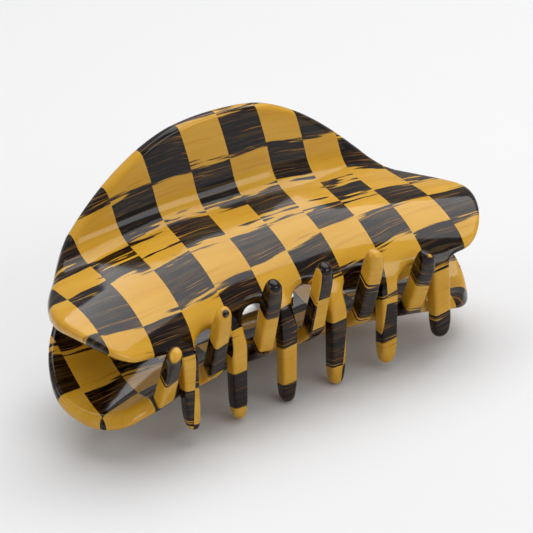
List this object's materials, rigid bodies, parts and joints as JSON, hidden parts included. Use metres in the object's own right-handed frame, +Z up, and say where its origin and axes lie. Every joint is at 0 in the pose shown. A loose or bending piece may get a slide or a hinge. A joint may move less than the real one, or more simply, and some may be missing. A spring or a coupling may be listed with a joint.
{
  "type": "claw hair clip",
  "caption": "Claw clip of checkered acetate: identical S-bent jaws with interlocking teeth and wide thumb wings, joined by a sprung steel hinge.",
  "frame": {"origin": "on the table under the middle of the clip's bounding box, with the clip lying on its upper teeth and its lower wing", "axes": "+X along the clip and its hinge pin, +Y towards the thumb wings, +Z up, out of the outer face of the upper jaw"},
  "size_m": [0.108, 0.0632, 0.0626],
  "materials": {
    "acetate": "polished",
    "leaf_steel": "satin",
    "screw_steel": "satin",
    "pin_steel": "satin",
    "spring_steel": "satin"
  },
  "bodies": {
    "lower": {"lower_jaw": "acetate", "lower_leaf": "leaf_steel", "lower_leaf_screw_left": "screw_steel", "lower_leaf_screw_right": "screw_steel", "hinge_pin": "pin_steel", "torsion_spring": "spring_steel"},
    "upper": {"upper_jaw": "acetate", "upper_leaf": "leaf_steel", "upper_leaf_screw_left": "screw_steel", "upper_leaf_screw_right": "screw_steel"}
  },
  "joints": [
    {"name": "jaw_hinge", "type": "hinge", "parent": "lower", "child": "upper", "pos_m": [0, 0.00164, 0.02594], "axis": [-1, 0, 0], "range_deg": [0, 44], "stiffness_Nm_per_rad": 0.15, "springref_deg": -57.3, "deforming": ["torsion_spring"]}
  ]
}
